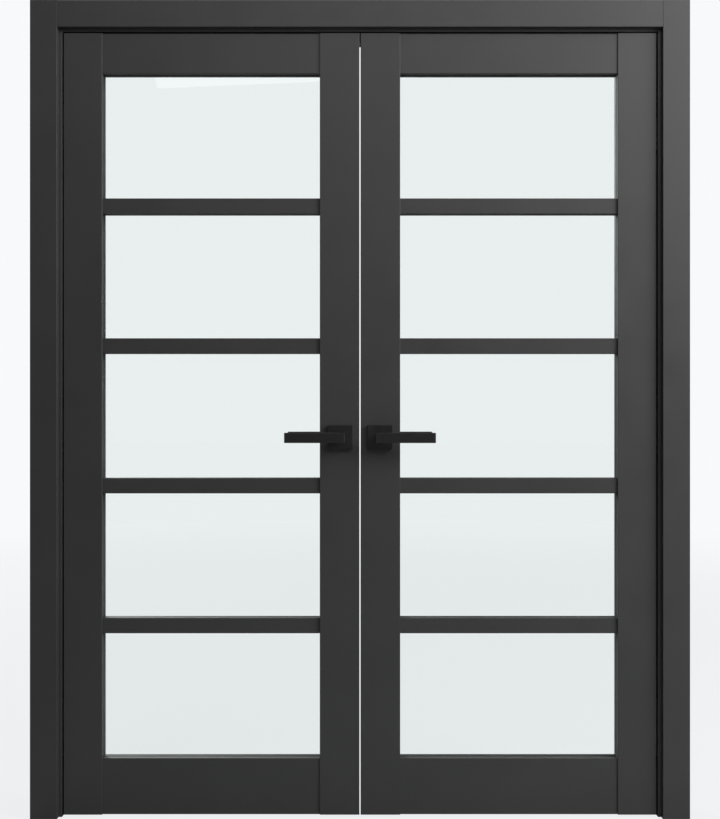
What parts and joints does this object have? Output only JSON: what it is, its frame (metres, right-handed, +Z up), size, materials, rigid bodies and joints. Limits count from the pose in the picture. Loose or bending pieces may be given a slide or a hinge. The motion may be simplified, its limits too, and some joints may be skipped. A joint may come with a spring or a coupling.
{
  "type": "french doors",
  "caption": "Pair of dark glazed interior doors with horizontal glazing bars, concealed hinges and lever handles, in its jambs and flat casings, without the wall.",
  "frame": {"origin": "on the floor, under the middle of the meeting gap and of the leaves' thickness", "axes": "+X to the right across the doorway seen from the front, +Y from the front to the back of the wall, +Z up"},
  "size_m": [1.707, 0.15, 2.119],
  "materials": {
    "graphite_lacquered_wood": "smooth matt graphite lacquer",
    "clear_glass": "clear float glass",
    "black_rubber": "matt",
    "beech": "bare, smooth dowels",
    "black_coated_zinc": "fine matt black powder coat",
    "zinc_plated_steel": "satin zinc plate"
  },
  "bodies": {
    "frame": {"jamb_left": "graphite_lacquered_wood", "jamb_right": "graphite_lacquered_wood", "head_jamb": "graphite_lacquered_wood", "front_casing_left": "graphite_lacquered_wood", "front_casing_right": "graphite_lacquered_wood", "front_casing_head": "graphite_lacquered_wood", "back_casing_left": "graphite_lacquered_wood", "back_casing_right": "graphite_lacquered_wood", "back_casing_head": "graphite_lacquered_wood", "frame_seal": "black_rubber", "frame_hinge_cases": "zinc_plated_steel", "frame_screws": "zinc_plated_steel", "bolt_keeper": "zinc_plated_steel"},
    "left_leaf": {"left_outer_stile": "graphite_lacquered_wood", "left_meeting_stile": "graphite_lacquered_wood", "left_top_rail": "graphite_lacquered_wood", "left_bottom_rail": "graphite_lacquered_wood", "left_bar_1": "graphite_lacquered_wood", "left_bar_2": "graphite_lacquered_wood", "left_bar_3": "graphite_lacquered_wood", "left_bar_4": "graphite_lacquered_wood", "left_panes": "clear_glass", "left_glazing_seals": "black_rubber", "left_dowels": "beech", "left_hinge_cases": "zinc_plated_steel", "left_screws": "zinc_plated_steel", "left_front_rosette": "black_coated_zinc", "left_back_rosette": "black_coated_zinc", "strike_plate": "zinc_plated_steel", "flush_bolt_cases": "zinc_plated_steel"},
    "right_leaf": {"right_outer_stile": "graphite_lacquered_wood", "right_meeting_stile": "graphite_lacquered_wood", "right_top_rail": "graphite_lacquered_wood", "right_bottom_rail": "graphite_lacquered_wood", "right_bar_1": "graphite_lacquered_wood", "right_bar_2": "graphite_lacquered_wood", "right_bar_3": "graphite_lacquered_wood", "right_bar_4": "graphite_lacquered_wood", "right_panes": "clear_glass", "right_glazing_seals": "black_rubber", "right_dowels": "beech", "right_hinge_cases": "zinc_plated_steel", "right_screws": "zinc_plated_steel", "right_front_rosette": "black_coated_zinc", "right_back_rosette": "black_coated_zinc", "latch_case": "zinc_plated_steel"},
    "left_lever": {"left_front_lever": "black_coated_zinc", "left_back_lever": "black_coated_zinc", "left_spindle": "zinc_plated_steel"},
    "right_lever": {"right_front_lever": "black_coated_zinc", "right_back_lever": "black_coated_zinc", "right_spindle": "zinc_plated_steel", "latch_follower": "zinc_plated_steel"},
    "latch_bolt": {"latch_bolt": "zinc_plated_steel"},
    "top_bolt": {"top_bolt_rod": "zinc_plated_steel"},
    "bottom_bolt": {"bottom_bolt_rod": "zinc_plated_steel"},
    "left_frame_arms": {"left_frame_arms": "zinc_plated_steel"},
    "left_leaf_arms": {"left_leaf_arms": "zinc_plated_steel"},
    "right_frame_arms": {"right_frame_arms": "zinc_plated_steel"},
    "right_leaf_arms": {"right_leaf_arms": "zinc_plated_steel"}
  },
  "joints": [
    {"name": "left_hinge", "type": "hinge", "parent": "frame", "child": "left_leaf", "pos_m": [-0.7725, -0.02, 1.022], "axis": [0, 0, -1], "range_deg": [0, 100]},
    {"name": "left_frame_arm_pivot", "type": "hinge", "parent": "frame", "child": "left_frame_arms", "pos_m": [-0.7895, 0.007, 1.022], "axis": [0, 0, -1], "range_deg": [0, 50]},
    {"name": "left_leaf_arm_pivot", "type": "hinge", "parent": "left_leaf", "child": "left_leaf_arms", "pos_m": [-0.7555, 0.007, 1.022], "axis": [0, 0, 1], "range_deg": [0, 50]},
    {"name": "left_lever_turn", "type": "hinge", "parent": "left_leaf", "child": "left_lever", "pos_m": [-0.0515, 0, 0.987], "axis": [0, -1, 0], "range_deg": [0, 45], "stiffness_Nm_per_rad": 1.5, "springref_deg": -20.05},
    {"name": "right_hinge", "type": "hinge", "parent": "frame", "child": "right_leaf", "pos_m": [0.7725, -0.02, 1.022], "axis": [0, 0, 1], "range_deg": [0, 100]},
    {"name": "right_frame_arm_pivot", "type": "hinge", "parent": "frame", "child": "right_frame_arms", "pos_m": [0.7895, 0.007, 1.022], "axis": [0, 0, 1], "range_deg": [0, 50]},
    {"name": "right_leaf_arm_pivot", "type": "hinge", "parent": "right_leaf", "child": "right_leaf_arms", "pos_m": [0.7555, 0.007, 1.022], "axis": [0, 0, -1], "range_deg": [0, 50]},
    {"name": "right_lever_turn", "type": "hinge", "parent": "right_leaf", "child": "right_lever", "pos_m": [0.0515, 0, 0.987], "axis": [0, 1, 0], "range_deg": [0, 45], "stiffness_Nm_per_rad": 1.5, "springref_deg": -20.05},
    {"name": "latch_bolt_slide", "type": "slide", "parent": "right_leaf", "child": "latch_bolt", "axis": [-1, 0, 0], "range_m": [0, 0.01], "stiffness_N_per_m": 50, "springref_m": -0.01},
    {"name": "top_bolt_slide", "type": "slide", "parent": "left_leaf", "child": "top_bolt", "axis": [0, 0, 1], "range_m": [0, 0.018]},
    {"name": "bottom_bolt_slide", "type": "slide", "parent": "left_leaf", "child": "bottom_bolt", "axis": [0, 0, -1], "range_m": [0, 0.018]}
  ],
  "couplings": [
    {"joint": "left_frame_arm_pivot", "follows": "left_hinge", "ratio": 0.5},
    {"joint": "left_leaf_arm_pivot", "follows": "left_hinge", "ratio": 0.5},
    {"joint": "right_frame_arm_pivot", "follows": "right_hinge", "ratio": 0.5},
    {"joint": "right_leaf_arm_pivot", "follows": "right_hinge", "ratio": 0.5}
  ]
}
